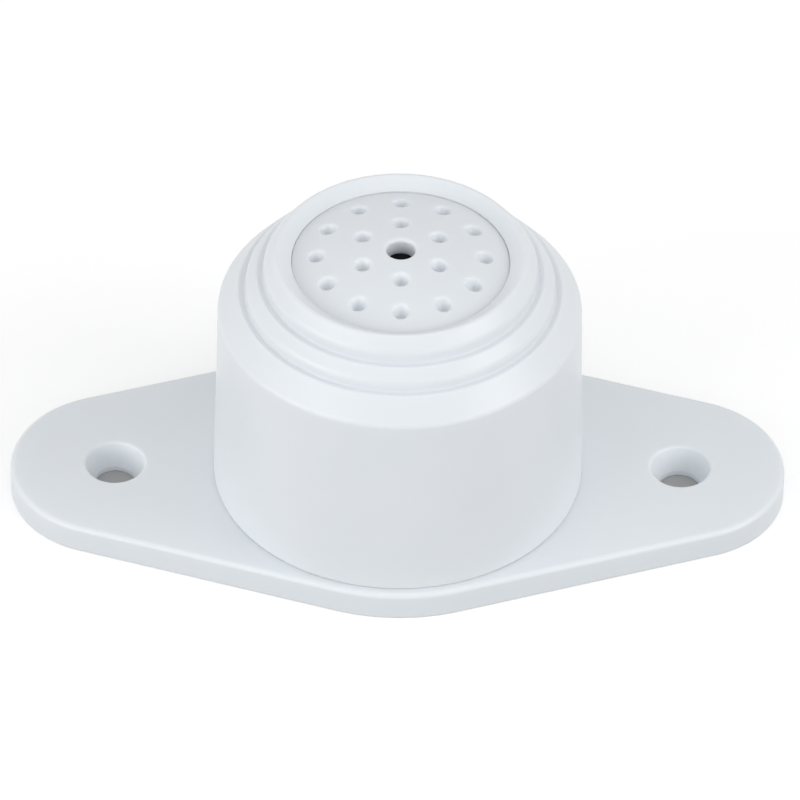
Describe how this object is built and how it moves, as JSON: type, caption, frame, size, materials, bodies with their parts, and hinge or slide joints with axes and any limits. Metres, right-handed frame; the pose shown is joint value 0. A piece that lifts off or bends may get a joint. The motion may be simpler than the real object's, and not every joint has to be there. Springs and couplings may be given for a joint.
{
  "type": "surveillance microphone",
  "caption": "White surface-mount microphone: a stepped round housing with a dimpled, domed cap and a sound hole, on a plate with screw holes.",
  "frame": {"origin": "centre of the mounting plate's underside, on the axis of the sound hole", "axes": "+X along the plate through both wall screw holes, +Y to the back, where the cable outlet is, +Z away from the wall or ceiling, out through the sound hole"},
  "size_m": [0.08, 0.04, 0.0322],
  "materials": {
    "white_plastic": "satin white moulding",
    "grommet_rubber": "matt grey rubber",
    "sleeve_rubber": "matt black rubber",
    "screw_steel": "zinc-plated",
    "board_laminate": "green solder mask",
    "can_aluminium": "plain drawn can",
    "felt": "black felt",
    "tinned_metal": "tinned",
    "chip_plastic": "black moulding compound",
    "ceramic": "tan ceramic with tinned ends",
    "header_plastic": "natural nylon"
  },
  "bodies": {
    "root": {"base_plate": "white_plastic", "body_shell": "white_plastic", "dimpled_cap": "white_plastic", "cable_grommet": "grommet_rubber", "capsule_sleeve": "sleeve_rubber", "case_screws": "screw_steel", "board_screws": "screw_steel", "circuit_board": "board_laminate", "capsule_terminal_disc": "board_laminate", "capsule_can": "can_aluminium", "capacitor_cans": "can_aluminium", "capsule_felt": "felt", "capsule_pins": "tinned_metal", "amplifier_leads": "tinned_metal", "regulator_leads": "tinned_metal", "diode_leads": "tinned_metal", "header_pins": "tinned_metal", "amplifier_chip": "chip_plastic", "supply_regulator": "chip_plastic", "protection_diode": "chip_plastic", "capacitor_bases": "chip_plastic", "chip_resistors": "chip_plastic", "chip_capacitors": "ceramic", "wire_header": "header_plastic"}
  },
  "joints": []
}
